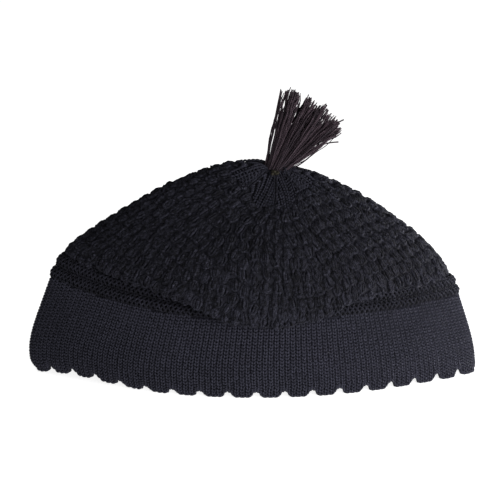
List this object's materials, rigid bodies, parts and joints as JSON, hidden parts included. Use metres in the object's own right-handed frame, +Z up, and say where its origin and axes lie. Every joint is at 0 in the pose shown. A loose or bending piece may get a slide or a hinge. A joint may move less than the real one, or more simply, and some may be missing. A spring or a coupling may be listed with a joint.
{
  "type": "kippah",
  "caption": "Knitted skullcap with a deep scalloped band, two openwork welts, a bumpy crown and a thread tassel at the pole.",
  "frame": {"origin": "centre of the bounding box, at the level of the rim's lowest lobes", "axes": "+Z up to the tassel, +X to the right along the long way of the pressed cap, -Y towards the side with the hanging lip"},
  "size_m": [0.2338, 0.0996, 0.1534],
  "materials": {
    "band_yarn": "matt knitted yarn",
    "welt_yarn": "matt knitted yarn",
    "crown_yarn": "matt bumpy knitted yarn",
    "star_yarn": "matt smooth knitted yarn",
    "knot_thread": "matt thread",
    "tassel_thread": "slightly glossy thread"
  },
  "bodies": {
    "root": {"band": "band_yarn", "lower_welt": "welt_yarn", "upper_welt": "welt_yarn", "crown": "crown_yarn", "crown_star": "star_yarn", "tassel_knot": "knot_thread", "tassel": "tassel_thread"}
  },
  "joints": []
}
